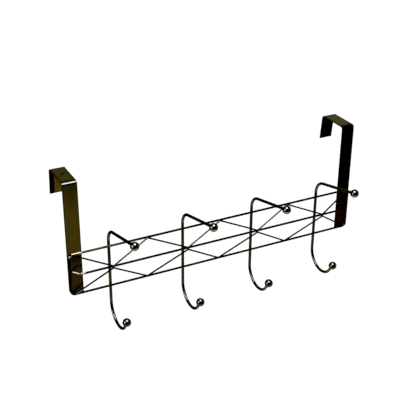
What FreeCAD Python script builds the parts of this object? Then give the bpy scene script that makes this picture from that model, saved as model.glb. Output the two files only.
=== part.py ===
import FreeCAD, Part
import math
import os

import Sketcher

# Over door hook rack: two folded steel straps hang over the top of a door and carry a long,
# low frame of welded wire. Four double hooks stand behind the frame's rails, each with a long
# prong above and a round bowl below, and every free wire end is closed by a steel ball.
#
# Frame of the part: X runs along the rack, -Y faces the room, +Z is up. X = 0 is midway
# between the straps, Y = 0 is the middle of the door's thickness, and Z = 0 is the underside
# of the straps' bridges, which rest on the door.

Vector = FreeCAD.Vector
doc = FreeCAD.newDocument("over_door_hook_rack")

# Driving dimensions, in millimetres and degrees.
SIZES = (
    ("door_gap", 44.4, "inside width of a strap, a 1 3/4 inch door"),
    ("strap_gauge", 1.2, "thickness of the straps' steel"),
    ("strap_width", 18.3, "width of a strap, along X"),
    ("strap_spacing", 381.7, "middle of one strap to middle of the other"),
    ("strap_bend", 2.8, "inside radius of a strap's two folds"),
    ("lip_drop", 32.8, "length of the back lip below the bridge's underside"),
    ("lip_angle", 5.5, "angle that the back lip stands out from the door"),
    ("foot_lap", 0.8, "how far a strap's foot passes the bottom rail's centre"),
    ("foot_corner", 7.0, "rounding of the left strap's outer foot corner"),
    ("rail_wire", 2.8, "wire of the frame loop and the middle rail"),
    ("loop_inset", 2.05, "strap's outer edge to the middle of the loop's end bar"),
    ("loop_corner", 5.0, "bend radius of the loop's corners, at the wire's centre"),
    ("top_rail_drop", 91.75, "bridge's underside down to the top rail's centre"),
    ("rail_spacing", 54.95, "top rail to bottom rail, centre to centre"),
    ("middle_rail_drop", 23.55, "top rail down to the middle rail, centre to centre"),
    ("middle_rail_bow", 9.95, "straps' front face forward to the middle rail's centre"),
    ("middle_rail_turn", 50.0, "angle that the middle rail's ends turn back to the straps"),
    ("middle_rail_bend", 8.0, "bend radius of those ends"),
    ("lattice_wire", 2.1, "wire of the two zigzags"),
    ("lattice_bend", 3.0, "bend radius of the zigzags"),
    ("lattice_excess", 2.0, "all pitches of a zigzag together, beyond the loop's length"),
    ("lattice_end_inset", 4.5, "zigzag's ends inside the loop's end bars"),
    ("lattice_foot_lap", 1.7, "bottom rail up to the middle of the bends on it"),
    ("lattice_middle_lap", 1.7, "middle rail to the middle of the bends on it, up or down"),
    ("lattice_top_lean", 1.4, "bends on the top rail to the right of their even place"),
    ("lattice_middle_lean", 2.4, "bends on the middle rail to the right of theirs"),
    ("hook_count", 4, "double hooks, and cells of the lattice"),
    ("hook_pitch", 98.4, "stem to stem of neighbouring hooks"),
    ("hook_offset", 0.85, "middle of the row of hooks to the right of the rack's middle"),
    ("hook_wire", 3.8, "wire of the hooks"),
    ("prong_rise", 20.5, "top rail up to the corner of stem and prong"),
    ("prong_bend", 18.5, "bend radius between stem and prong"),
    ("prong_angle", 13.3, "rise of the prong above level"),
    ("prong_reach", 82.1, "stem forward to the middle of the prong's ball"),
    ("bowl_drop", 24.35, "bottom rail down to the middle of the bowl's arc"),
    ("bowl_radius", 23.2, "radius of the bowl, at the wire's centre"),
    ("tip_lean", 33.6, "lean of the bowl's tip, forward from upright"),
    ("tip_length", 12.85, "end of the bowl's arc to the middle of its ball"),
    ("ball_diameter", 10.6, "steel balls on the wire ends"),
    ("ball_wall", 3.0, "steel left in front of the wire inside a ball"),
)
sheet = doc.addObject("Spreadsheet::Sheet", "sizes")
for row, (alias, size, meaning) in enumerate(SIZES, start=1):
    sheet.set(f"A{row}", meaning)
    sheet.set(f"B{row}", str(size))
    sheet.setAlias(f"B{row}", alias)
doc.recompute()


def value(expression):
    """The number that an expression on the sheet's sizes gives."""
    return float(sheet.evalExpression(expression))


# Places that several pieces share, as expressions on the sizes.
FRONT_FACE = "(-sizes.door_gap / 2 - sizes.strap_gauge)"
RAIL_Y = f"({FRONT_FACE} - sizes.rail_wire / 2)"
TOP_RAIL_Z = "(-sizes.top_rail_drop)"
BOTTOM_RAIL_Z = "(-sizes.top_rail_drop - sizes.rail_spacing)"
MIDDLE_RAIL_Y = f"({FRONT_FACE} - sizes.middle_rail_bow)"
MIDDLE_RAIL_Z = "(-sizes.top_rail_drop - sizes.middle_rail_drop)"
LOOP_END_X = "(sizes.strap_spacing / 2 + sizes.strap_width / 2 - sizes.loop_inset)"
LATTICE_PITCH = f"((2 * {LOOP_END_X} + sizes.lattice_excess) / sizes.hook_count)"
STEM_Y = f"({FRONT_FACE} + sizes.hook_wire / 2)"
WIRE_PAST_BALL = "(sizes.ball_diameter / 2 - sizes.ball_wall)"


def new_body(name, x="0", y="0", z="0"):
    """A sub-part's body, with its origin at the given place."""
    body = doc.addObject("PartDesign::Body", name)
    body.Label = name
    body.setExpression("Placement.Base.x", x)
    body.setExpression("Placement.Base.y", y)
    body.setExpression("Placement.Base.z", z)
    return body


def origin_plane(body, role):
    return next(plane for plane in body.Origin.OriginFeatures if plane.Role == role)


def new_sketch(body, name, role):
    """An empty sketch on one of the body's own origin planes."""
    sketch = body.newObject("Sketcher::SketchObject", name)
    sketch.AttachmentSupport = (origin_plane(body, role), [""])
    sketch.MapMode = "FlatFace"
    return sketch


def bind(sketch, name, expression, kind, *where):
    """A named dimension of a sketch, bound to the sheet."""
    size = value(expression)
    if kind == "Angle":
        size = math.radians(size)
        expression = f"{expression} * 1 deg"
    index = sketch.addConstraint(Sketcher.Constraint(kind, *where, size))
    sketch.renameConstraint(index, name)
    sketch.setExpression(f"Constraints.{name}", expression)


def fix(sketch, kind, *where):
    sketch.addConstraint(Sketcher.Constraint(kind, *where))


def line(sketch, start, end):
    return sketch.addGeometry(Part.LineSegment(Vector(*start, 0), Vector(*end, 0)), False)


def arc(sketch, centre, radius, first, last):
    """An arc that turns anticlockwise from the first angle to the last, in degrees."""
    circle = Part.Circle(Vector(*centre, 0), Vector(0, 0, 1), radius)
    return sketch.addGeometry(
        Part.ArcOfCircle(circle, math.radians(first), math.radians(last)), False)


# Sketcher's own numbers for the places on its geometry.
START, END, CENTRE = range(1, 4)
ACROSS_AXIS, UP_AXIS = range(-1, -3, -1)
ORIGIN = (ACROSS_AXIS, START)


def wire_profile(body, name, role, wire_size, up="0"):
    """The round section of a wire, centred on the body's origin or above it."""
    sketch = new_sketch(body, name, role)
    circle = Part.Circle(Vector(0, value(up), 0), Vector(0, 0, 1), value(wire_size) / 2)
    section = sketch.addGeometry(circle, False)
    fix(sketch, "PointOnObject", section, CENTRE, UP_AXIS)
    bind(sketch, "wire_diameter", wire_size, "Diameter", section)
    if up == "0":
        fix(sketch, "PointOnObject", section, CENTRE, ACROSS_AXIS)
    else:
        bind(sketch, "height", up, "DistanceY", *ORIGIN, section, CENTRE)
    return sketch


def pipe(body, name, profile, path):
    """The wire's section swept along a path sketch."""
    feature = body.newObject("PartDesign::AdditivePipe", name)
    feature.Profile = profile
    feature.Spine = path
    body.Tip = feature
    return feature


def mirror_across(body, name, feature):
    """The other half of a piece, mirrored across the middle of the rack."""
    mirrored = body.newObject("PartDesign::Mirrored", name)
    mirrored.Originals = [feature]
    mirrored.MirrorPlane = (origin_plane(body, "YZ_Plane"), [""])
    body.Tip = mirrored


def strap(name, x):
    """A flat steel strip folded twice: front leg, bridge and a lip that stands out a little."""
    body = new_body(name, x=x)
    sketch = new_sketch(body, f"{name}_outline", "YZ_Plane")
    half_gap = value("sizes.door_gap / 2")
    gauge = value("sizes.strap_gauge")
    inner = value("sizes.strap_bend")
    outer = inner + gauge
    foot = value(f"{BOTTOM_RAIL_Z} - sizes.foot_lap")
    splay = value("sizes.lip_angle")
    lip_end = -value("sizes.lip_drop")
    front_centre = (inner - half_gap, -inner)
    back_centre = (half_gap - inner, -inner)

    def on_lip(radius, height=None):
        """A point of the lip's inner or outer face: its top, or the one at a height."""
        y = back_centre[0] + radius * math.cos(math.radians(splay))
        z = back_centre[1] + radius * math.sin(math.radians(splay))
        if height is None:
            return y, z
        return y + (z - height) * math.tan(math.radians(splay)), height

    inner_tip = on_lip(inner, lip_end)
    outer_tip = on_lip(outer, lip_end + gauge * math.sin(math.radians(splay)))
    foot_edge = line(sketch, (-half_gap - gauge, foot), (-half_gap, foot))
    leg_inside = line(sketch, (-half_gap, foot), (-half_gap, -inner))
    front_inside = arc(sketch, front_centre, inner, 90, 180)
    underside = line(sketch, (inner - half_gap, 0), (half_gap - inner, 0))
    back_inside = arc(sketch, back_centre, inner, splay, 90)
    lip_inside = line(sketch, on_lip(inner), inner_tip)
    lip_edge = line(sketch, inner_tip, outer_tip)
    lip_outside = line(sketch, outer_tip, on_lip(outer))
    back_outside = arc(sketch, back_centre, outer, splay, 90)
    top = line(sketch, (half_gap - inner, gauge), (inner - half_gap, gauge))
    front_outside = arc(sketch, front_centre, outer, 90, 180)
    leg_outside = line(sketch, (-half_gap - gauge, -inner), (-half_gap - gauge, foot))

    fix(sketch, "Coincident", foot_edge, END, leg_inside, START)
    fix(sketch, "Tangent", leg_inside, END, front_inside, END)
    fix(sketch, "Tangent", front_inside, START, underside, START)
    fix(sketch, "Tangent", underside, END, back_inside, END)
    fix(sketch, "Tangent", back_inside, START, lip_inside, START)
    fix(sketch, "Coincident", lip_inside, END, lip_edge, START)
    fix(sketch, "Coincident", lip_edge, END, lip_outside, START)
    fix(sketch, "Tangent", lip_outside, END, back_outside, START)
    fix(sketch, "Tangent", back_outside, END, top, START)
    fix(sketch, "Tangent", top, END, front_outside, START)
    fix(sketch, "Tangent", front_outside, END, leg_outside, START)
    fix(sketch, "Coincident", leg_outside, END, foot_edge, START)
    fix(sketch, "Coincident", front_inside, CENTRE, front_outside, CENTRE)
    fix(sketch, "Coincident", back_inside, CENTRE, back_outside, CENTRE)
    fix(sketch, "Equal", front_inside, back_inside)
    fix(sketch, "Horizontal", foot_edge)
    fix(sketch, "Horizontal", underside)
    fix(sketch, "Vertical", leg_inside)
    fix(sketch, "Perpendicular", lip_inside, lip_edge)
    fix(sketch, "PointOnObject", underside, START, ACROSS_AXIS)
    bind(sketch, "fold_radius", "sizes.strap_bend", "Radius", front_inside)
    bind(sketch, "gauge", "sizes.strap_gauge", "DistanceX", foot_edge, START, foot_edge, END)
    bind(sketch, "leg_inside_face", "sizes.door_gap / 2", "DistanceX", leg_inside, START, *ORIGIN)
    bind(sketch, "back_fold_place", "sizes.door_gap / 2 - sizes.strap_bend", "DistanceX",
         *ORIGIN, back_inside, CENTRE)
    bind(sketch, "leg_drop", f"-{BOTTOM_RAIL_Z} + sizes.foot_lap", "DistanceY",
         foot_edge, END, *ORIGIN)
    bind(sketch, "lip_drop", "sizes.lip_drop", "DistanceY", lip_inside, END, *ORIGIN)
    bind(sketch, "lip_direction", "(sizes.lip_angle - 90)", "Angle", lip_inside)

    pad = body.newObject("PartDesign::Pad", f"{name}_pad")
    pad.Profile = sketch
    pad.SideType = "Symmetric"
    pad.setExpression("Length", "sizes.strap_width")

    return body


def round_foot(body, side):
    """One corner of a strap's foot, rounded off: the right one for side 1, the left for -1."""
    name = body.Label
    corner = new_sketch(body, f"{name}_foot_corner", "XZ_Plane")
    half_width = value("sizes.strap_width / 2")
    rounding = value("sizes.foot_corner")
    foot = value(f"{BOTTOM_RAIL_Z} - sizes.foot_lap")
    sharp = (side * half_width, foot)
    beside = (side * half_width, foot + rounding)
    below = (side * (half_width - rounding), foot)
    centre = (side * (half_width - rounding), foot + rounding)
    edge = line(corner, sharp, beside)
    end = line(corner, below, sharp)
    first = 270 if side > 0 else 180
    bend = arc(corner, centre, rounding, first, first + 90)
    side_end, foot_end = (END, START) if side > 0 else (START, END)
    fix(corner, "Coincident", end, END, edge, START)
    fix(corner, "Tangent", edge, END, bend, side_end)
    fix(corner, "Tangent", end, START, bend, foot_end)
    fix(corner, "Vertical", edge)
    fix(corner, "Horizontal", end)
    bind(corner, "rounding", "sizes.foot_corner", "Radius", bend)
    ends = (*ORIGIN, edge, START) if side > 0 else (edge, START, *ORIGIN)
    bind(corner, "edge", "sizes.strap_width / 2", "DistanceX", *ends)
    bind(corner, "foot", f"-{BOTTOM_RAIL_Z} + sizes.foot_lap", "DistanceY",
         edge, START, *ORIGIN)
    cut = body.newObject("PartDesign::Pocket", f"{name}_foot_cut")
    cut.Profile = corner
    cut.Type = "ThroughAll"
    cut.SideType = "Symmetric"
    body.Tip = cut
    return body


def frame_loop():
    """The closed rectangle of wire: top rail, bottom rail and two end bars with round corners."""
    body = new_body("frame_loop", y=RAIL_Y, z=BOTTOM_RAIL_Z)
    profile = wire_profile(body, "frame_loop_section", "YZ_Plane", "sizes.rail_wire",
                           up="sizes.rail_spacing")
    path = new_sketch(body, "frame_loop_path", "XZ_Plane")
    width = value(LOOP_END_X)
    height = value("sizes.rail_spacing")
    corner = value("sizes.loop_corner")
    top_rail = line(path, (0, height), (width - corner, height))
    top_corner = arc(path, (width - corner, height - corner), corner, 0, 90)
    end_bar = line(path, (width, height - corner), (width, corner))
    bottom_corner = arc(path, (width - corner, corner), corner, 270, 360)
    bottom_rail = line(path, (width - corner, 0), (0, 0))
    fix(path, "PointOnObject", top_rail, START, UP_AXIS)
    fix(path, "Tangent", top_rail, END, top_corner, END)
    fix(path, "Tangent", top_corner, START, end_bar, START)
    fix(path, "Tangent", end_bar, END, bottom_corner, END)
    fix(path, "Tangent", bottom_corner, START, bottom_rail, START)
    fix(path, "Coincident", bottom_rail, END, *ORIGIN)
    fix(path, "Horizontal", top_rail)
    fix(path, "Vertical", end_bar)
    fix(path, "Horizontal", bottom_rail)
    fix(path, "Equal", top_corner, bottom_corner)
    bind(path, "corner_radius", "sizes.loop_corner", "Radius", top_corner)
    bind(path, "half_width", LOOP_END_X, "DistanceX", *ORIGIN, end_bar, START)
    bind(path, "rail_spacing", "sizes.rail_spacing", "DistanceY", *ORIGIN, top_rail, START)
    half = pipe(body, "frame_loop_half", profile, path)
    mirror_across(body, "frame_loop_mirror", half)
    return body


def middle_rail():
    """The bowed rail: straight in front of the frame, its ends turned back to meet the straps.

    Each end runs slantwise to its strap and is cut off flush with the strap's face.
    """
    body = new_body("middle_rail", y=MIDDLE_RAIL_Y, z=MIDDLE_RAIL_Z)
    profile = wire_profile(body, "middle_rail_section", "YZ_Plane", "sizes.rail_wire")
    path = new_sketch(body, "middle_rail_path", "XY_Plane")
    past_face = "(sizes.middle_rail_bow + sizes.rail_wire / 2)"
    end_x = (f"({LOOP_END_X} - sizes.rail_wire"
             " + sizes.rail_wire / 2 / tan(sizes.middle_rail_turn * 1 deg))")
    bend = value("sizes.middle_rail_bend")
    turn = math.radians(value("sizes.middle_rail_turn"))
    tip = (value(end_x), value(past_face))
    arc_rise = bend * (1 - math.cos(turn))
    arc_end = (tip[0] - (tip[1] - arc_rise) / math.tan(turn), arc_rise)
    arc_start = (arc_end[0] - bend * math.sin(turn), 0)
    front_run = line(path, (0, 0), arc_start)
    end_bend = arc(path, (arc_start[0], bend), bend, 270, 270 + math.degrees(turn))
    slant = line(path, arc_end, tip)
    fix(path, "Coincident", front_run, START, *ORIGIN)
    fix(path, "Horizontal", front_run)
    fix(path, "Tangent", front_run, END, end_bend, START)
    fix(path, "Tangent", end_bend, END, slant, START)
    bind(path, "bend_radius", "sizes.middle_rail_bend", "Radius", end_bend)
    bind(path, "half_length", end_x, "DistanceX", *ORIGIN, slant, END)
    bind(path, "end_depth", past_face, "DistanceY", *ORIGIN, slant, END)
    bind(path, "end_direction", "sizes.middle_rail_turn", "Angle", slant)
    half = pipe(body, "middle_rail_half", profile, path)
    mirror_across(body, "middle_rail_mirror", half)

    trim = new_sketch(body, "middle_rail_trim", "XY_Plane")
    reach = value(f"{LOOP_END_X} * 1.5")
    face = value("sizes.middle_rail_bow")
    behind = value("sizes.middle_rail_bow + 2 * sizes.rail_wire")
    flush = line(trim, (-reach, face), (reach, face))
    right = line(trim, (reach, face), (reach, behind))
    back = line(trim, (reach, behind), (-reach, behind))
    left = line(trim, (-reach, behind), (-reach, face))
    for here, following in ((flush, right), (right, back), (back, left), (left, flush)):
        fix(trim, "Coincident", here, END, following, START)
    for level in (flush, back):
        fix(trim, "Horizontal", level)
    for upright in (right, left):
        fix(trim, "Vertical", upright)
    bind(trim, "face", "sizes.middle_rail_bow", "DistanceY", *ORIGIN, flush, START)
    bind(trim, "depth", "2 * sizes.rail_wire", "DistanceY", right, START, right, END)
    bind(trim, "right_reach", f"{LOOP_END_X} * 1.5", "DistanceX", *ORIGIN, flush, END)
    bind(trim, "left_reach", f"{LOOP_END_X} * 1.5", "DistanceX", flush, START, *ORIGIN)
    cut = body.newObject("PartDesign::Pocket", "middle_rail_flush")
    cut.Profile = trim
    cut.SideType = "Symmetric"
    cut.setExpression("Length", "2 * sizes.rail_wire")
    body.Tip = cut
    return body


def corner_outside(before, middle, after, radius):
    """Where two runs would meet, if the bend between them passes through the middle point."""
    arriving = (middle - before).normalize()
    leaving = (after - middle).normalize()
    half_turn = arriving.getAngle(leaving) / 2
    inward = (leaving - arriving).normalize()
    return middle - inward * radius * (1 / math.cos(half_turn) - 1)


def bent_path(points, radius):
    """Straight runs joined by round bends that pass through the points between the ends."""
    corners = [points[0]]
    for before, middle, after in zip(points, points[1:], points[2:]):
        corners.append(corner_outside(before, middle, after, radius))
    corners.append(points[-1])
    edges = []
    run_start = corners[0]
    for before, corner, after in zip(corners, corners[1:], corners[2:]):
        arriving = (corner - before).normalize()
        leaving = (after - corner).normalize()
        half_turn = arriving.getAngle(leaving) / 2
        setback = radius * math.tan(half_turn)
        inward = (leaving - arriving).normalize()
        arc_start = corner - arriving * setback
        arc_middle = corner + inward * radius * (1 / math.cos(half_turn) - 1)
        arc_end = corner + leaving * setback
        edges.append(Part.LineSegment(run_start, arc_start).toShape())
        edges.append(Part.Arc(arc_start, arc_middle, arc_end).toShape())
        run_start = arc_end
    edges.append(Part.LineSegment(run_start, corners[-1]).toShape())
    return Part.Wire(edges)


def lattice_wire(name, outer_rail_z, outer_lap, outer_lean, middle_lap):
    """One flat zigzag, leaning: its bends lap the front of an outer rail and the middle rail.

    The laps are the heights of the bends' middles above the rails' centres. The wire touches
    the front of both rails, and its two ends stop inside the loop's end bars.
    """
    gauge = value("sizes.lattice_wire")
    pitch = value(LATTICE_PITCH)
    last_x = value(f"{LOOP_END_X} - sizes.lattice_end_inset")
    middle_lean = value("sizes.lattice_middle_lean")
    cells = round(value("sizes.hook_count"))
    contact = (value("sizes.rail_wire") + gauge) / 2

    def on_rail(x, rail_y, rail_z, lap):
        return Vector(x, rail_y - math.sqrt(contact ** 2 - lap ** 2), rail_z + lap)

    points = []
    for place in range(2 * cells + 1):
        x = (place - cells) * pitch / 2
        if place % 2:
            points.append(on_rail(x + middle_lean, value(MIDDLE_RAIL_Y),
                                  value(MIDDLE_RAIL_Z), middle_lap))
        else:
            x = min(max(x + outer_lean, -last_x), last_x)
            points.append(on_rail(x, value(RAIL_Y), outer_rail_z, outer_lap))

    path = doc.addObject("Part::Feature", f"{name}_path")
    path.Shape = bent_path(points, value("sizes.lattice_bend"))
    section = doc.addObject("Part::Circle", f"{name}_section")
    section.setExpression("Radius", "sizes.lattice_wire / 2")
    section.Placement = FreeCAD.Placement(
        points[0], FreeCAD.Rotation(Vector(0, 0, 1), path.Shape.OrderedEdges[0].tangentAt(0)))
    sweep = doc.addObject("Part::Sweep", name)
    sweep.Label = name
    sweep.Sections = [section]
    sweep.Spine = (path, [])
    sweep.Solid = True
    return sweep


def hook(name, x):
    """One bent wire: a stem behind the rails, a rising prong above and a round bowl below."""
    body = new_body(name, x=x, y=STEM_Y, z=TOP_RAIL_Z)
    profile = wire_profile(body, f"{name}_section", "XY_Plane", "sizes.hook_wire")

    above = new_sketch(body, f"{name}_above", "YZ_Plane")
    angle = math.radians(value("sizes.prong_angle"))
    bend = value("sizes.prong_bend")
    past = value(WIRE_PAST_BALL)
    end_y = f"(sizes.prong_reach + {WIRE_PAST_BALL} * cos(sizes.prong_angle * 1 deg))"
    end_z = f"(sizes.prong_rise + {end_y} * tan(sizes.prong_angle * 1 deg))"
    quarter = math.pi / 2 - angle
    setback = bend * math.tan(quarter / 2)
    rise = value("sizes.prong_rise")
    bend_centre = (-bend, rise - setback)
    prong_start = (-setback * math.cos(angle), rise + setback * math.sin(angle))
    stem_above = line(above, (0, 0), (0, rise - setback))
    shoulder = arc(above, bend_centre, bend, 0, math.degrees(quarter))
    prong = line(above, prong_start, (-value(end_y), value(end_z)))
    fix(above, "Coincident", stem_above, START, *ORIGIN)
    fix(above, "Vertical", stem_above)
    fix(above, "Tangent", stem_above, END, shoulder, START)
    fix(above, "Tangent", shoulder, END, prong, START)
    bind(above, "shoulder_radius", "sizes.prong_bend", "Radius", shoulder)
    bind(above, "prong_direction", "(180 - sizes.prong_angle)", "Angle", prong)
    bind(above, "prong_end_reach", end_y, "DistanceX", prong, END, *ORIGIN)
    bind(above, "prong_end_height", end_z, "DistanceY", *ORIGIN, prong, END)

    below = new_sketch(body, f"{name}_below", "YZ_Plane")
    drop_to_bowl = "(sizes.rail_spacing + sizes.bowl_drop)"
    bowl_radius = value("sizes.bowl_radius")
    lean = value("sizes.tip_lean")
    drop = value(drop_to_bowl)
    bowl_end = (-bowl_radius * (1 + math.cos(math.radians(lean))),
                -drop - bowl_radius * math.sin(math.radians(lean)))
    tip = value("sizes.tip_length") + past
    tip_end = (bowl_end[0] - tip * math.sin(math.radians(lean)),
               bowl_end[1] + tip * math.cos(math.radians(lean)))
    stem_below = line(below, (0, 0), (0, -drop))
    bowl = arc(below, (-bowl_radius, -drop), bowl_radius, 180 + lean, 360)
    tip_run = line(below, bowl_end, tip_end)
    fix(below, "Coincident", stem_below, START, *ORIGIN)
    fix(below, "Vertical", stem_below)
    fix(below, "Tangent", stem_below, END, bowl, END)
    fix(below, "Tangent", bowl, START, tip_run, START)
    bind(below, "stem_drop", drop_to_bowl, "DistanceY", stem_below, END, *ORIGIN)
    bind(below, "bowl_radius", "sizes.bowl_radius", "Radius", bowl)
    bind(below, "tip_direction", "(90 + sizes.tip_lean)", "Angle", tip_run)
    bind(below, "tip_length", f"sizes.tip_length + {WIRE_PAST_BALL}", "Distance", tip_run)

    pipe(body, f"{name}_prong", profile, above)
    pipe(body, f"{name}_bowl", profile, below)
    return body


def ball(name, x, y, z, tilt):
    """A steel ball with a blind bore in which the end of a hook's wire sits.

    The bore opens downwards along the ball's own axis, which tilts forward about X to lie
    along the wire.
    """
    body = new_body(name, x=x, y=y, z=z)
    body.Placement.Rotation = FreeCAD.Rotation(Vector(1, 0, 0), value(tilt))
    body.setExpression("Placement.Rotation.Angle", f"{tilt} * 1 deg")
    sketch = new_sketch(body, f"{name}_profile", "XZ_Plane")
    radius = value("sizes.ball_diameter / 2")
    bore = value("sizes.hook_wire / 2")
    floor = value(WIRE_PAST_BALL)
    mouth = -math.sqrt(radius ** 2 - bore ** 2)
    mouth_angle = math.degrees(math.atan2(mouth, bore))
    outside = arc(sketch, (0, 0), radius, mouth_angle, 90)
    crown = line(sketch, (0, radius), (0, floor))
    bore_floor = line(sketch, (0, floor), (bore, floor))
    bore_wall = line(sketch, (bore, floor), (bore, mouth))
    fix(sketch, "Coincident", outside, CENTRE, *ORIGIN)
    fix(sketch, "PointOnObject", outside, END, UP_AXIS)
    fix(sketch, "Coincident", outside, END, crown, START)
    fix(sketch, "PointOnObject", crown, END, UP_AXIS)
    fix(sketch, "Coincident", crown, END, bore_floor, START)
    fix(sketch, "Horizontal", bore_floor)
    fix(sketch, "Coincident", bore_floor, END, bore_wall, START)
    fix(sketch, "Vertical", bore_wall)
    fix(sketch, "Coincident", bore_wall, END, outside, START)
    bind(sketch, "ball_radius", "sizes.ball_diameter / 2", "Radius", outside)
    bind(sketch, "bore_radius", "sizes.hook_wire / 2", "DistanceX", *ORIGIN, bore_floor, END)
    bind(sketch, "wall", "sizes.ball_wall", "DistanceY", crown, END, crown, START)
    turned = body.newObject("PartDesign::Revolution", f"{name}_turned")
    turned.Profile = sketch
    turned.ReferenceAxis = (sketch, ["V_Axis"])
    body.Tip = turned
    return body


PRONG_BALL_Y = f"({STEM_Y} - sizes.prong_reach)"
PRONG_BALL_Z = (f"({TOP_RAIL_Z} + sizes.prong_rise"
                " + sizes.prong_reach * tan(sizes.prong_angle * 1 deg))")
TIP_SIN = "sin(sizes.tip_lean * 1 deg)"
TIP_COS = "cos(sizes.tip_lean * 1 deg)"
BOWL_BALL_Y = (f"({STEM_Y} - sizes.bowl_radius * (1 + {TIP_COS})"
               f" - sizes.tip_length * {TIP_SIN})")
BOWL_BALL_Z = (f"({BOTTOM_RAIL_Z} - sizes.bowl_drop - sizes.bowl_radius * {TIP_SIN}"
               f" + sizes.tip_length * {TIP_COS})")

sub_parts = [
    round_foot(strap("left_strap", "-sizes.strap_spacing / 2"), -1),
    strap("right_strap", "sizes.strap_spacing / 2"),
    frame_loop(),
    middle_rail(),
    lattice_wire("upper_zigzag", value(TOP_RAIL_Z), 0, value("sizes.lattice_top_lean"),
                 value("sizes.lattice_middle_lap")),
    lattice_wire("lower_zigzag", value(BOTTOM_RAIL_Z), value("sizes.lattice_foot_lap"), 0,
                 -value("sizes.lattice_middle_lap")),
]
for number in range(1, round(value("sizes.hook_count")) + 1):
    hook_x = (f"(sizes.hook_offset"
              f" + ({number} - sizes.hook_count / 2 - 0.5) * sizes.hook_pitch)")
    sub_parts.append(hook(f"hook_{number}", hook_x))
    sub_parts.append(ball(f"prong_ball_{number}", hook_x, PRONG_BALL_Y, PRONG_BALL_Z,
                          "(90 - sizes.prong_angle)"))
    sub_parts.append(ball(f"bowl_ball_{number}", hook_x, BOWL_BALL_Y, BOWL_BALL_Z,
                          "sizes.tip_lean"))
doc.recompute()

for item in doc.Objects:
    if "Invalid" in item.State or "Error" in item.State:
        raise SystemExit(f"{item.Label} did not build: {item.State}")
for item in sub_parts:
    if item.Shape.isNull() or not item.Shape.isValid() or len(item.Shape.Solids) != 1:
        raise SystemExit(f"{item.Label} is not one valid solid")

os.makedirs("parts", exist_ok=True)
for item in sub_parts:
    item.Shape.exportStep(os.path.join("parts", f"{item.Label}.step"))
    print(f"{item.Label}: {item.Shape.Volume:.1f} mm3")
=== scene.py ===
"""Dresses an over door hook rack of polished black nickel.

The rack is two folded straps, a welded wire lattice and four double hooks. The solids keep their
mesh and get their plating here, whose tones carry painted highlights, shade and reflections, and
small weld beads are added where the wires meet.
"""

import math
import random

import bmesh
import bpy
from mathutils import Matrix, Vector


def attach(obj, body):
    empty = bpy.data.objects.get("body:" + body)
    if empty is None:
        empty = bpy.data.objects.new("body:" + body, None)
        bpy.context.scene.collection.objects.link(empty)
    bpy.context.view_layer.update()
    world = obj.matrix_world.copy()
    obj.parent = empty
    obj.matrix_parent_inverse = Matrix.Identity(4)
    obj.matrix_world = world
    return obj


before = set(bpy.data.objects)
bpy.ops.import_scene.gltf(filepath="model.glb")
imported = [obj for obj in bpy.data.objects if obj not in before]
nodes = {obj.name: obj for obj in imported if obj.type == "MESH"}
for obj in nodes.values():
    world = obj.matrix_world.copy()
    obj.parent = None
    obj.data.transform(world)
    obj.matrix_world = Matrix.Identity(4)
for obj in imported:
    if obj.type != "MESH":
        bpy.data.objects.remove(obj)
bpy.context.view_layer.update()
MM = 0.001


def colour(red, green, blue):
    return (red, green, blue, 1.0)


UNLIT = colour(0, 0, 0)
WHITE = colour(1, 1, 1)
BLACK = colour(0.002, 0.002, 0.002)
# A dark tone for painted shade, also in the welds, and a tone for painted highlights.
SHADE = colour(0.012, 0.009, 0.005)
HIGHLIGHT_TONE = colour(0.36, 0.33, 0.27)

RAIL_BROWN = colour(0.090, 0.054, 0.016)
RAIL_DARK = colour(0.058, 0.038, 0.013)
# Painted highlight along the top rail's left stretch.
TOP_RAIL_HIGHLIGHT = colour(0.040, 0.034, 0.026)
NICKEL = colour(0.075, 0.068, 0.052)
DARK_NICKEL = colour(0.055, 0.048, 0.034)
HOOK_OLIVE = colour(0.150, 0.128, 0.048)
HOOK_DARK = colour(0.110, 0.094, 0.036)
# Painted highlight on the hooks' bowls.
HOOK_HIGHLIGHT_GREY = colour(0.120, 0.120, 0.116)
BALL_NICKEL = colour(0.165, 0.160, 0.165)
# Painted reflection on the balls' lower halves.
PRONG_BALL_REFLECTION = colour(0.220, 0.180, 0.095)
BOWL_BALL_REFLECTION = colour(0.085, 0.058, 0.010)

# The strap's tones, olive for the bridge and brown for the leg, set apart as painted reflection.
OLIVE = colour(0.044, 0.037, 0.013)
OLIVE_GREY = colour(0.050, 0.044, 0.024)
BRIDGE_GREY = colour(0.050, 0.047, 0.036)
BROWN = colour(0.082, 0.048, 0.002)
PALE_BROWN = colour(0.104, 0.068, 0.006)
OLIVE_LEG = colour(0.090, 0.076, 0.014)
LEFT_EDGE = colour(0.044, 0.026, 0.003)
RIGHT_EDGE = colour(0.042, 0.044, 0.005)
# Painted dark reflection of the lattice on the strap's foot.
FOOT_END = colour(0.024, 0.012, 0.003)
FOOT_LOW = colour(0.050, 0.026, 0.005)
FOOT_HIGH = colour(0.011, 0.009, 0.003)
# Painted highlight on the front fold.
FOLD_HIGHLIGHT = colour(0.115, 0.113, 0.103)

# What the metal reflects at a glancing angle.
WIRE_TINT = colour(0.05, 0.05, 0.04)
SHEET_TINT = colour(0.60, 0.58, 0.45)

FLOOR_GREY = colour(0.86, 0.86, 0.86)
WALL_BROWN = colour(0.26, 0.09, 0.005)
CORNER_RED = colour(0.17, 0.026, 0.01)

# Places of the rack's wires and straps, in millimetres.
HOOK_X = (-146.75, -48.35, 50.05, 148.45)
STRAP_X = 190.85
RAIL_Z = (-91.75, -146.70)
LATTICE_PITCH = 99.475
LATTICE_END_X = 193.45
TOP_BEND_SHIFT = 1.4
MIDDLE_BEND_SHIFT = 2.4

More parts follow.
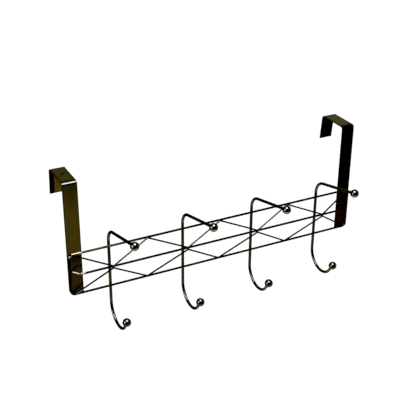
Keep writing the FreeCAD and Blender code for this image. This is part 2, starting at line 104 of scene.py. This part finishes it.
# Places of the weld beads and half of each bead's size, in millimetres.
HOOK_WELD_Y = -23.4
HOOK_WELD = (1.25, 0.75, 1.15)
TOP_WELD_YZ = (-26.25, -91.8)
TOP_WELD = (1.5, 0.45, 0.9)
FOOT_WELD_YZ = (-25.85, -145.7)
FOOT_WELD = (1.5, 0.55, 0.8)
MIDDLE_WELD_Y = -34.36
MIDDLE_WELD_Z = (-114.3, -116.3)
MIDDLE_WELD = (1.5, 0.6, 0.8)
STRAP_WELD_Y = -23.5
STRAP_WELD_SHIFTS = (-5.0, 4.0)
STRAP_WELD = (1.6, 0.5, 1.0)
RAIL_END_PLACE = (195.1, -23.7, -115.3)
RAIL_END_WELD = (1.9, 0.5, 1.5)
WELD_UNEVEN = 0.04

# Where a patch of the plate's tone fades in, in metres: the place where it starts and where it is
# full. Most of these patches are painted shade, highlights and reflections.
RAIL_SHADE_X = (-0.118, -0.130)
TOP_RAIL_Z = (-0.0975, -0.0945)
MIDDLE_RAIL_Z = -0.1155
MIDDLE_RAIL_HALF = (0.004, 0.003)
# Where the painted highlights at the rails' left ends fade in.
MIDDLE_HIGHLIGHT_X = (-0.1966, -0.1960)
RAIL_HIGHLIGHT_X = (-0.181, -0.184)

# Where the lattice's painted shade and painted highlight lie.
UPPER_ZIGZAG_Z = (-0.1160, -0.1145)
LATTICE_SHADE_X = (0.130, 0.150)
LOWER_HIGHLIGHT_X = (-0.181, -0.186)
LOWER_HIGHLIGHT_Z = (-0.115, -0.120)

# Where the painted highlight on the bowls and the painted reflection on the balls lie.
BOWL_Y = (-0.052, -0.046)
BOWL_Z = (-0.160, -0.172)
BOWL_BALLS_Z = (-0.120, -0.121)
PRONG_BALL_REFLECTION_Z = (-0.0517, -0.0527)
BOWL_BALL_REFLECTION_Z = (-0.1730, -0.1740)

LEG_Z = (-0.0005, -0.0040)
FRONT_Y = (-0.0185, -0.0200)
FOLD_Z = (-0.0042, -0.0030)
# Where the painted dark line and the painted highlight lie on the front fold.
FRONT_LINE_START_Y = (-0.0160, -0.0180)
FRONT_LINE_END_Y = (-0.0212, -0.0204)
FOLD_HIGHLIGHT_Y = (-0.0204, -0.0212)
FOLD_HIGHLIGHT_ENDS = (0.0089, 0.0080)
BRIDGE_RIM = (0.0066, 0.0082)
LEG_EDGE = (0.0074, 0.0084)
FOOT_Z = (-0.0915, -0.0925)
LIP_Y = (0.0190, 0.0200)
LIP_SHADE_X = (-0.1936, -0.1944)
CENTRE_X = (-0.001, 0.001)

# A zigzag's cells start here, in metres, and its wires rise in the second half of each.
CELL_START_X = -0.1975
RISING_HALF = (0.48, 0.52)

# The foot's painted reflection tones run from its end upwards, as parts of this height in metres.
FOOT_END_Z = -0.15
FOOT_HEIGHT = 0.1

# A painted dark reflection on the left strap's bridge: its place, turn and size.
DARK_REFLECTION_PLACE = (-0.1903, 0.0018, 0.0)
DARK_REFLECTION_TURN = (0.0, 0.0, -0.72)
DARK_REFLECTION_SIZE = (0.0028, 0.0110, 1.0)

# How much of a darker or greyer tone covers the bridge: its dark rim, a painted dark reflection,
# and painted reflection that darkens the left bridge and greys the right one.
RIM_COVER = 0.9
DARK_REFLECTION_COVER = 0.85
LEFT_COVER = 0.25
RIGHT_COVER = 0.6

# The plate's smears and ripple.
SMEAR_RANGE = (0.3, 0.75)
RIPPLE = 0.000006
WELD_RIPPLE = 0.00002


class Signal:
    """One output of a shader node. A Python sum with it adds the Math nodes that work it out."""

    def __init__(self, finish, socket):
        self.finish = finish
        self.socket = socket

    def __add__(self, other):
        return self.finish.math("ADD", self, other)

    def __radd__(self, other):
        return self.finish.math("ADD", other, self)

    def __sub__(self, other):
        return self.finish.math("SUBTRACT", self, other)

    def __rsub__(self, other):
        return self.finish.math("SUBTRACT", other, self)

    def __mul__(self, other):
        return self.finish.math("MULTIPLY", self, other)

    def __rmul__(self, other):
        return self.finish.math("MULTIPLY", other, self)

    def __truediv__(self, other):
        return self.finish.math("DIVIDE", self, other)

    def __rtruediv__(self, other):
        return self.finish.math("DIVIDE", other, self)

    def __abs__(self):
        return self.finish.math("ABSOLUTE", self)


class Finish:
    """The nodes of a material or of the world, and the one way in which they are put in."""

    def __init__(self, owner):
        self.owner = owner
        owner.use_nodes = True
        self.tree = owner.node_tree
        self.tree.nodes.clear()

    def node(self, kind, settings=None, inputs=None, output=0):
        """Adds a node: first its settings, then the values or links of its sockets."""
        made = self.tree.nodes.new(kind)
        for key, value in (settings or {}).items():
            if key == "stops":
                self.set_stops(made.color_ramp, value)
            else:
                setattr(made, key, value)
        for key, value in (inputs or {}).items():
            if isinstance(value, Signal):
                self.tree.links.new(value.socket, made.inputs[key])
            else:
                made.inputs[key].default_value = value
        if not made.outputs:
            return None
        return Signal(self, made.outputs[output])

    def set_stops(self, ramp, stops):
        while len(ramp.elements) < len(stops):
            ramp.elements.new(0.5)
        for element, (place, tone) in zip(ramp.elements, stops):
            element.position = place
            element.color = tone

    def math(self, operation, first, second=0.0):
        return self.node("ShaderNodeMath", {"operation": operation}, {0: first, 1: second})

    def place(self):
        return self.node("ShaderNodeTexCoord", output="Object")

    def axis(self, letter):
        return self.node("ShaderNodeSeparateXYZ", inputs={0: self.place()}, output=letter)

    def noise(self, grain, detail, stretch=(1.0, 1.0, 1.0)):
        """Noise whose patches are about the given size in metres."""
        spread = self.node(
            "ShaderNodeMapping", inputs={"Vector": self.place(), "Scale": stretch}
        )
        return self.node(
            "ShaderNodeTexNoise", inputs={"Vector": spread, "Scale": 1.0 / grain, "Detail": detail}
        )

    def ramp(self, value, *stops):
        return self.node("ShaderNodeValToRGB", {"stops": stops}, {"Fac": value})

    def fade(self, value, start, full, low=0.0, high=1.0):
        """Goes smoothly from low to high while the value goes from start to full."""
        return self.node(
            "ShaderNodeMapRange",
            {"interpolation_type": "SMOOTHSTEP"},
            {"Value": value, "From Min": start, "From Max": full, "To Min": low, "To Max": high},
        )

    def blend(self, cover, under, over):
        """The over tone laid on the under tone. Sockets 6, 7 and 2 are the node's colour ones."""
        inputs = {0: cover, 6: under, 7: over}
        return self.node("ShaderNodeMix", {"data_type": "RGBA"}, inputs, output=2)

    def bump(self, height, depth):
        return self.node("ShaderNodeBump", inputs={"Height": height, "Distance": depth})

    def open_rays(self):
        """One for a ray from the camera, off a gloss or through glass, and zero for others."""
        rays = [
            self.node("ShaderNodeLightPath", output=f"Is {kind} Ray")
            for kind in ("Camera", "Glossy", "Transmission")
        ]
        return rays[0] + rays[1] + rays[2]

    def shade(self, inputs):
        surface = self.node("ShaderNodeBsdfPrincipled", inputs=inputs)
        self.node("ShaderNodeOutputMaterial", inputs={"Surface": surface})
        return self.owner


def material_finish(name):
    return Finish(bpy.data.materials.new(name))


def plated(finish, tone, smear, rough, tint=WIRE_TINT, stretch=0.4, wave=0.006, ripple=RIPPLE):
    """Black nickel plate of the given tone, with faint smears and a slight ripple."""
    smears = finish.noise(grain=smear, detail=4.0, stretch=(1.0, 1.0, stretch))
    return finish.shade(
        {
            "Base Color": tone,
            "Metallic": 1.0,
            "Roughness": finish.fade(smears, *SMEAR_RANGE, *rough),
            "Specular Tint": tint,
            "Normal": finish.bump(finish.noise(grain=wave, detail=2.0), depth=ripple),
        }
    )


def clouded(finish, low, high, patch):
    """Two close tones in patches of the given size."""
    cloud = finish.noise(grain=patch, detail=2.0)
    return finish.ramp(cloud, (0.36, low), (0.62, high))


def rail_plate():
    """Brown, with painted shade on the lower rails at the left, a painted highlight along the top
    rail's left stretch and a stronger painted highlight at the left ends of the top and middle
    rails.
    """
    finish = material_finish("rail_black_nickel")
    along = finish.axis("X")
    height = finish.axis("Z")
    tone = clouded(finish, RAIL_DARK, RAIL_BROWN, patch=0.030)
    # Painted light at the left: shade on the lower rails and a highlight along the top rail.
    top = finish.fade(height, *TOP_RAIL_Z)
    shade_and_highlight = finish.blend(top, SHADE, TOP_RAIL_HIGHLIGHT)
    tone = finish.blend(finish.fade(along, *RAIL_SHADE_X), tone, shade_and_highlight)
    middle = finish.fade(abs(height - MIDDLE_RAIL_Z), *MIDDLE_RAIL_HALF)
    # Painted highlight at the left ends of the top and middle rails.
    middle_end = middle * finish.fade(along, *MIDDLE_HIGHLIGHT_X)
    bright = finish.fade(along, *RAIL_HIGHLIGHT_X) * (top + middle_end)
    tone = finish.blend(bright, tone, HIGHLIGHT_TONE)
    return plated(finish, tone, smear=0.012, rough=(0.05, 0.10))


def lattice_plate():
    """Dark, with painted light: the upper zigzag's rising wires keep a greyer tone as if lit, the
    other wires are in painted shade, all turn near black towards the right, and the lower zigzag's
    left end has a painted highlight.
    """
    finish = material_finish("lattice_black_nickel")
    along = finish.axis("X")
    height = finish.axis("Z")
    tone = clouded(finish, DARK_NICKEL, NICKEL, patch=0.025)
    cell = finish.math("FRACT", (along - CELL_START_X) / (LATTICE_PITCH * MM))
    # Painted shade on all but the upper zigzag's rising wires, which keep the greyer tone as if
    # lit.
    rising = finish.fade(cell, *RISING_HALF) * finish.fade(height, *UPPER_ZIGZAG_Z)
    tone = finish.blend(rising, SHADE, tone)
    # Painted shade: near black towards the right strap.
    tone = finish.blend(finish.fade(along, *LATTICE_SHADE_X), tone, BLACK)
    # Painted highlight at the lower zigzag's left end.
    left_end_highlight = finish.fade(along, *LOWER_HIGHLIGHT_X) * finish.fade(height, *LOWER_HIGHLIGHT_Z)
    tone = finish.blend(left_end_highlight, tone, HIGHLIGHT_TONE)
    return plated(finish, tone, smear=0.010, rough=(0.05, 0.10))


def hook_plate():
    """Olive down the stems, with a painted highlight in grey over the lower bowls."""
    finish = material_finish("hook_black_nickel")
    tone = clouded(finish, HOOK_DARK, HOOK_OLIVE, patch=0.030)
    # Painted highlight: grey over the lower bowl, short of its tip.
    bowl = finish.fade(finish.axis("Z"), *BOWL_Z) * finish.fade(finish.axis("Y"), *BOWL_Y)
    tone = finish.blend(bowl, tone, HOOK_HIGHLIGHT_GREY)
    return plated(finish, tone, smear=0.012, rough=(0.04, 0.09))


def ball_plate():
    """Neutral above. Below, a painted reflection: beige on the prongs' balls and brown on the
    bowls' balls.
    """
    finish = material_finish("ball_black_nickel")
    height = finish.axis("Z")
    prong_ball = 1.0 - finish.fade(height, *BOWL_BALLS_Z)
    # Painted reflection: the lower halves of the balls, beige on the prongs and brown on the
    # bowls.
    prong_reflection = finish.fade(height, *PRONG_BALL_REFLECTION_Z) * prong_ball
    tone = finish.blend(prong_reflection, BALL_NICKEL, PRONG_BALL_REFLECTION)
    tone = finish.blend(finish.fade(height, *BOWL_BALL_REFLECTION_Z), tone, BOWL_BALL_REFLECTION)
    return plated(finish, tone, smear=0.016, rough=(0.02, 0.04))


def weld_metal():
    """Dull and nearly black."""
    finish = material_finish("weld_black_nickel")
    tone = clouded(finish, BLACK, SHADE, patch=0.0015)
    return plated(finish, tone, smear=0.0006, rough=(0.22, 0.42), ripple=WELD_RIPPLE)


def bridge_tone(finish, cloud, right, from_middle):
    """Olive with dark edges, and painted reflection: the left strap's bridge darker, the right
    one's greyer, a dark patch on the left bridge and a black line where it turns into the front
    fold.
    """
    tone = finish.ramp(cloud, (0.35, OLIVE), (0.70, OLIVE_GREY))
    # Painted reflection: the right strap's bridge greyer and the left one's darker.
    tone = finish.blend(right * RIGHT_COVER, tone, BRIDGE_GREY)
    tone = finish.blend((1.0 - right) * LEFT_COVER, tone, BLACK)
    # Painted dark reflection: a dark patch across the left bridge.
    dark_reflection_place = finish.node(
        "ShaderNodeMapping",
        {"vector_type": "TEXTURE"},
        {
            "Vector": finish.place(),
            "Location": DARK_REFLECTION_PLACE,
            "Rotation": DARK_REFLECTION_TURN,
            "Scale": DARK_REFLECTION_SIZE,
        },
    )
    from_dark_reflection = finish.node(
        "ShaderNodeVectorMath", {"operation": "LENGTH"}, {0: dark_reflection_place}, output="Value"
    )
    tone = finish.blend(finish.fade(from_dark_reflection, 1.0, 0.3) * DARK_REFLECTION_COVER, tone, BLACK)
    tone = finish.blend(finish.fade(from_middle, *BRIDGE_RIM) * RIM_COVER, tone, BLACK)
    depth = finish.axis("Y")
    # Painted dark reflection: a black line where the bridge turns into the front fold.
    front_line = finish.fade(depth, *FRONT_LINE_START_Y) * finish.fade(depth, *FRONT_LINE_END_Y)
    return finish.blend(front_line, tone, BLACK)


def leg_tone(finish, cloud, right, from_middle):
    """Brown streaked along the leg and darker at the edges, with a painted dark reflection on the
    foot and painted shade on the lips.
    """
    along = finish.axis("X")
    depth = finish.axis("Y")
    height = finish.axis("Z")
    streak = finish.noise(grain=0.004, detail=3.0, stretch=(1.0, 1.0, 0.10))
    tone = finish.ramp(
        cloud * 0.5 + streak * 0.5, (0.38, BROWN), (0.52, PALE_BROWN), (0.64, OLIVE_LEG)
    )
    # Painted dark reflection on the foot behind the lattice: near black just under the top rail,
    # brown lower down and darker again at the end.
    foot = finish.fade(height, *FOOT_Z) * finish.fade(depth, *FRONT_Y)
    foot_reflection = finish.ramp(
        (height - FOOT_END_Z) / FOOT_HEIGHT,
        (0.05, FOOT_END),
        (0.16, FOOT_LOW),
        (0.40, FOOT_LOW),
        (0.50, FOOT_HIGH),
    )
    tone = finish.blend(foot, tone, foot_reflection)
    right_half = finish.fade(along + STRAP_X * MM, *CENTRE_X)
    edge_tone = finish.blend(right_half, LEFT_EDGE, RIGHT_EDGE)
    edge = finish.fade(from_middle, *LEG_EDGE) * finish.fade(foot, 1.0, 0.2)
    tone = finish.blend(edge, tone, edge_tone)
    lip_shade = finish.fade(depth, *LIP_Y) * (finish.fade(along, *LIP_SHADE_X) + right)
    return finish.blend(lip_shade, tone, BLACK)


def strap_plate():
    """Olive over the bridge and brown down the leg, a painted reflection on the one strip, with a
    painted highlight on the front fold.
    """
    finish = material_finish("strap_black_nickel")
    along = finish.axis("X")
    depth = finish.axis("Y")
    height = finish.axis("Z")
    cloud = finish.noise(grain=0.030, detail=2.0)
    right = finish.fade(along, *CENTRE_X)
    from_middle = abs(abs(along) - STRAP_X * MM)
    bridge = bridge_tone(finish, cloud, right, from_middle)
    leg = leg_tone(finish, cloud, right, from_middle)
    # Painted reflection: the one strip toned olive on its bridge and brown down its leg.
    tone = finish.blend(finish.fade(height, *LEG_Z), bridge, leg)
    fold = finish.fade(depth, *FRONT_Y) * finish.fade(height, *FOLD_Z)
    # Painted highlight along the front fold.
    pale = fold * finish.fade(depth, *FOLD_HIGHLIGHT_Y) * finish.fade(from_middle, *FOLD_HIGHLIGHT_ENDS)
    tone = finish.blend(pale, tone, FOLD_HIGHLIGHT)
    return plated(
        finish, tone, smear=0.009, rough=(0.05, 0.09), tint=SHEET_TINT, stretch=0.35, wave=0.008
    )


finishes = {
    "folded_steel": strap_plate(),
    "rail_wire": rail_plate(),
    "lattice_wire": lattice_plate(),
    "hook_wire": hook_plate(),
    "ball_steel": ball_plate(),
}
weld_finish = weld_metal()

for node in nodes.values():
    slot_name = node.data.materials[0].name.split(".")[0]
    node.data.materials[0] = finishes[slot_name]


def add_piece(name, build, material):
    """Makes the piece from its bmesh, with its place in its mesh, and puts it in the scene."""
    mesh = bpy.data.meshes.new(name)
    build.to_mesh(mesh)
    build.free()
    mesh.materials.append(material)
    piece = bpy.data.objects.new(name, mesh)
    bpy.context.scene.collection.objects.link(piece)
    return piece


def keep(name, build):
    """Puts welds on the rack, with outward faces and smooth shading."""
    bmesh.ops.recalc_face_normals(build, faces=build.faces[:])
    for face in build.faces:
        face.smooth = True
    piece = add_piece(name, build, weld_finish)
    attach(piece, "root")


# Resistance welds: the metal that is squeezed out where two wires meet.
chance = random.Random(11)


def weld(build, place, size):
    """A small uneven button of squeezed metal."""
    made = bmesh.ops.create_icosphere(build, subdivisions=3, radius=1.0)
    for corner in made["verts"]:
        corner.co *= 1.0 + chance.uniform(-WELD_UNEVEN, WELD_UNEVEN)
    bmesh.ops.scale(build, vec=Vector(size) * MM, verts=made["verts"])
    bmesh.ops.translate(build, vec=Vector(place) * MM, verts=made["verts"])


hook_welds = bmesh.new()
for x in HOOK_X:
    for z in RAIL_Z:
        weld(hook_welds, (x, HOOK_WELD_Y, z), HOOK_WELD)
keep("hook_welds", hook_welds)

lattice_welds = bmesh.new()
for (y, z), size, shift in (
    (TOP_WELD_YZ, TOP_WELD, TOP_BEND_SHIFT),
    (FOOT_WELD_YZ, FOOT_WELD, 0.0),
):
    bends = [cell * LATTICE_PITCH + shift for cell in (-1, 0, 1)]
    for x in (-LATTICE_END_X, *bends, LATTICE_END_X):
        weld(lattice_welds, (x, y, z), size)
for cell in (-1.5, -0.5, 0.5, 1.5):
    x = cell * LATTICE_PITCH + MIDDLE_BEND_SHIFT
    for z in MIDDLE_WELD_Z:
        weld(lattice_welds, (x, MIDDLE_WELD_Y, z), MIDDLE_WELD)
keep("lattice_welds", lattice_welds)

strap_welds = bmesh.new()
for side in (-1, 1):
    for shift in STRAP_WELD_SHIFTS:
        for z in RAIL_Z:
            weld(strap_welds, (side * STRAP_X + shift, STRAP_WELD_Y, z), STRAP_WELD)
    x, y, z = RAIL_END_PLACE
    weld(strap_welds, (side * x, y, z), RAIL_END_WELD)
keep("strap_welds", strap_welds)


# The floor lies as far below as it does when the rack hangs on a door.
FLOOR_Z = -1.95
FLOOR_RADIUS = 30.0
FLOOR_GLOW = 0.62


def floor_finish():
    """Pale, and white for the eye."""
    finish = material_finish("pale_floor")
    return finish.shade(
        {
            "Base Color": FLOOR_GREY,
            "Roughness": 0.9,
            "Specular IOR Level": 0.0,
            "Emission Color": finish.blend(finish.open_rays(), UNLIT, WHITE),
            "Emission Strength": FLOOR_GLOW,
        }
    )


floor_build = bmesh.new()
bmesh.ops.create_circle(floor_build, cap_ends=True, segments=96, radius=FLOOR_RADIUS)
bmesh.ops.translate(floor_build, vec=(0, 0, FLOOR_Z), verts=floor_build.verts[:])
floor = add_piece("floor", floor_build, floor_finish())

# White behind the rack for the eye, and a gentle even light on it from all round.
ROUND_LIGHT = 0.5
air = Finish(bpy.data.worlds.new("studio"))
strength = air.fade(air.open_rays(), 0.0, 1.0, ROUND_LIGHT, 1.0)
white = air.node("ShaderNodeBackground", inputs={"Color": WHITE, "Strength": strength})
air.node("ShaderNodeOutputWorld", inputs={"Surface": white})
bpy.context.scene.world = air.owner

# A dark hall round the rack that only reflections show, as for any polished metal: black, with
# pale cloths on the floor, a pale screen behind for the bridges, and a brown wall and a dim red
# corner to the right.
HALL_RADIUS = 2.6
HALL_CENTRE = Vector((0.0, -0.05, -0.1))


def hall_finish():
    """Heights and bearings are in degrees. Bearings run from the front to the right."""
    cloth = material_finish("dark_hall")
    east = cloth.axis("X") - HALL_CENTRE.x
    front = HALL_CENTRE.y - cloth.axis("Y")
    up = (cloth.axis("Z") - HALL_CENTRE.z) / HALL_RADIUS
    bearing = cloth.math("ARCTAN2", east, front) * math.degrees(1.0)
    height = cloth.math("ARCSINE", up) * math.degrees(1.0)

    def between(angle, low, high, soft=3.0):
        rise = cloth.fade(angle, low - soft, low + soft)
        return rise * cloth.fade(angle, high - soft, high + soft, 1.0, 0.0)

    # Each cloth's patch of the hall and how brightly it shows.
    cloths = {
        "floor": (between(height, -40, -25) * between(bearing, 5, 30), 0.5),
        "right": (cloth.fade(height, -18, -26) * between(bearing, 70, 152), 0.5),
        "left": (cloth.fade(height, -33, -38) * cloth.fade(bearing, -132, -138), 0.5),
        "front": (cloth.fade(height, -33, -38) * between(bearing, -10, 60), 0.8),
        "below": (cloth.fade(height, -52, -58), 1.3),
        "screen": (between(height, 14, 38) * between(bearing, 118, 176), 0.9),
        "side": (between(height, -46, -28) * between(bearing, -125, -55), 0.45),
    }
    light = 0.0
    for patch, glow in cloths.values():
        light = cloth.math("MAXIMUM", light, patch * glow)
    brown_wall = between(height, -14, 26) * between(bearing, 42, 108)
    red_corner = between(height, -34, -26, 1.0) * between(bearing, 33, 46, 2.0)
    tone = cloth.blend(light, UNLIT, WHITE)
    tone = cloth.blend(red_corner, tone, CORNER_RED)
    return cloth.shade(
        {
            "Base Color": UNLIT,
            "Roughness": 1.0,
            "Specular IOR Level": 0.0,
            "Emission Color": cloth.blend(brown_wall, tone, WALL_BROWN),
            "Emission Strength": 1.0,
        }
    )


hall_build = bmesh.new()
bmesh.ops.create_uvsphere(hall_build, u_segments=72, v_segments=36, radius=HALL_RADIUS)
bmesh.ops.translate(hall_build, vec=HALL_CENTRE, verts=hall_build.verts[:])
hall = add_piece("dark_hall", hall_build, hall_finish())
for kind in ("camera", "diffuse", "transmission", "volume_scatter", "shadow"):
    setattr(hall, f"visible_{kind}", False)


def softbox(name, place, target, size, power):
    """A lamp of the given size in metres and power in watts that faces the target."""
    lamp = bpy.data.lights.new(name, "AREA")
    lamp.shape = "RECTANGLE"
    lamp.size, lamp.size_y = size
    lamp.energy = power
    stand = bpy.data.objects.new(name, lamp)
    stand.location = place
    facing = Vector(target) - Vector(place)
    stand.rotation_euler = facing.to_track_quat("-Z", "Y").to_euler()
    bpy.context.scene.collection.objects.link(stand)


softbox(
    "overhead_softbox",
    place=(-0.10, -0.37, 1.0),
    target=(-0.10, -0.37, 0.0),
    size=(0.70, 0.86),
    power=15.12991,
)
softbox(
    "left_softbox",
    place=(-1.08, -0.24, 0.26),
    target=(0.0, -0.05, -0.1),
    size=(0.50, 0.56),
    power=5.277876,
)

# The photograph's viewing angle.
CAMERA_PLACE = (-0.472067, -0.9004, 0.441126)
RIGHT = Vector((0.892109, -0.451795, 0.004777))
DOWN = Vector((-0.200596, -0.405524, -0.891803))
AHEAD = Vector((0.40485, 0.794627, -0.452399))
lens = bpy.data.cameras.new("camera")
lens.sensor_width = 36.0
lens.lens = 80.53
lens.clip_start, lens.clip_end = 0.02, 80.0
camera = bpy.data.objects.new("camera", lens)
turn = Matrix((RIGHT, -DOWN, -AHEAD)).transposed()
camera.matrix_world = Matrix.Translation(CAMERA_PLACE) @ turn.to_4x4()
bpy.context.scene.collection.objects.link(camera)
bpy.context.scene.camera = camera
bpy.context.scene.view_settings.view_transform = "Standard"

bpy.context.view_layer.update()
